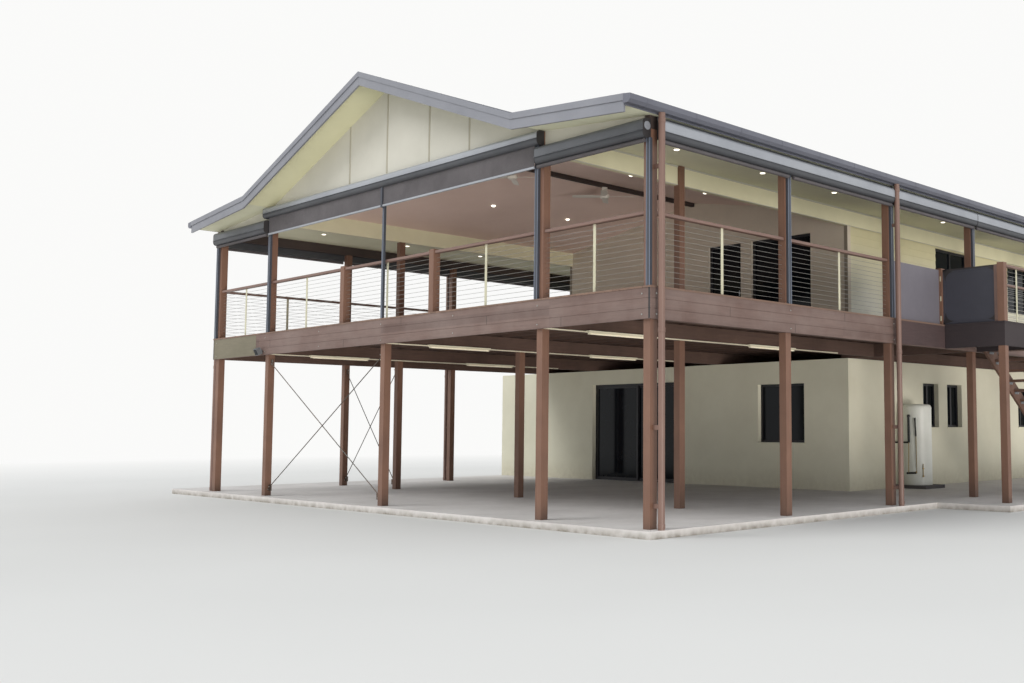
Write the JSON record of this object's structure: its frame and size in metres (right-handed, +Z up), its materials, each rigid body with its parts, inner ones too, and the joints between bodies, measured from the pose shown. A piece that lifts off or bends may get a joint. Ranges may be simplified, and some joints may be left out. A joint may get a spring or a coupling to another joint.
{
  "type": "stilt house",
  "caption": "Raised timber house: a roofed deck on tall posts around upper rooms, masonry rooms below, an outside stair, a glazed door that slides and ceiling fans that turn.",
  "frame": {"origin": "underside of the floor slab, on the line below the ridge, at the middle of the slab's length between the first and last rows of posts", "axes": "+Z up; +Y along the ridge from the open end of the deck to the rear; +X across the house, towards the side with the stair"},
  "size_m": [15.64, 18.432, 7.3426],
  "materials": {
    "concrete": "concrete",
    "post_paint": "post paint",
    "rod_steel": "rod steel",
    "underside_timber": "underside timber",
    "deck_boards": "deck boards",
    "fascia_boards": "fascia boards",
    "stair_timber": "stair timber",
    "handrail": "handrail",
    "screen_grey": "screen grey",
    "screen_dark": "screen dark",
    "render": "render",
    "wall_boards": "wall boards",
    "gable_panel": "gable panel",
    "beam_paint": "beam paint",
    "ceiling_paint": "ceiling paint",
    "frame_timber": "frame timber",
    "roof_steel": "roof steel",
    "trim_steel": "trim steel",
    "pipe_paint": "pipe paint",
    "blind_case": "blind case",
    "blind_mesh": "blind mesh",
    "blind_channel": "blind channel",
    "black_frame": "black frame",
    "glass": "glass",
    "fan_white": "fan white",
    "light_white": "light white",
    "lamp_case": "lamp case",
    "tank_enamel": "tank enamel"
  },
  "bodies": {
    "house": {"barge_boards": "trim_steel", "batten_lights": "light_white", "blind_boxes": "blind_case", "blind_guides": "blind_channel", "blind_screens": "blind_mesh", "brace_rods": "rod_steel", "ceiling_bulkheads": "beam_paint", "deck_bearers": "underside_timber", "deck_fascia": "fascia_boards", "deck_floor": "deck_boards", "deck_joists": "underside_timber", "downpipes": "pipe_paint", "eave_beams": "beam_paint", "fan_mounts": "fan_white", "floodlight": "lamp_case", "floor_slab": "concrete", "front_balustrade": "handrail", "front_gable_wall": "gable_panel", "gable_lintels": "beam_paint", "gable_soffits": "ceiling_paint", "gutters": "trim_steel", "hot_water_tank": "tank_enamel", "landing": "fascia_boards", "landing_screen": "screen_dark", "lower_door_lintel": "render", "lower_front_wall_left": "render", "lower_front_wall_right": "render", "lower_posts": "post_paint", "lower_rear_wall": "render", "lower_side_walls": "render", "newel_posts": "post_paint", "rafters": "frame_timber", "rear_balustrade": "handrail", "ridge_beam": "underside_timber", "ridge_board": "frame_timber", "ridge_cap": "trim_steel", "roof_sheets_main": "roof_steel", "roof_sheets_veranda": "roof_steel", "room_ceiling": "ceiling_paint", "side_balustrades": "handrail", "side_screen": "screen_grey", "sliding_door_frame": "black_frame", "stair_balustrade": "handrail", "stair_stringers": "stair_timber", "stair_treads": "stair_timber", "tank_plinth": "concrete", "upper_front_wall": "wall_boards", "upper_posts": "post_paint", "upper_rear_wall": "wall_boards", "upper_side_walls": "wall_boards", "veranda_soffits": "ceiling_paint", "window_frames": "black_frame", "window_glass": "glass"},
    "sliding_door": {"sliding_door_leaf": "black_frame"},
    "front_fan_rotor": {"front_fan": "fan_white"},
    "rear_fan_rotor": {"rear_fan": "fan_white"}
  },
  "joints": [
    {"name": "door_slide", "type": "slide", "parent": "house", "child": "sliding_door", "axis": [-1, 0, 0], "range_m": [0, 1.38]},
    {"name": "front_fan_spin", "type": "hinge", "parent": "house", "child": "front_fan_rotor", "pos_m": [0, -5.95, 6.103], "axis": [0, 0, 1], "continuous": true},
    {"name": "rear_fan_spin", "type": "hinge", "parent": "house", "child": "rear_fan_rotor", "pos_m": [0, -3.58, 6.103], "axis": [0, 0, 1], "continuous": true}
  ]
}
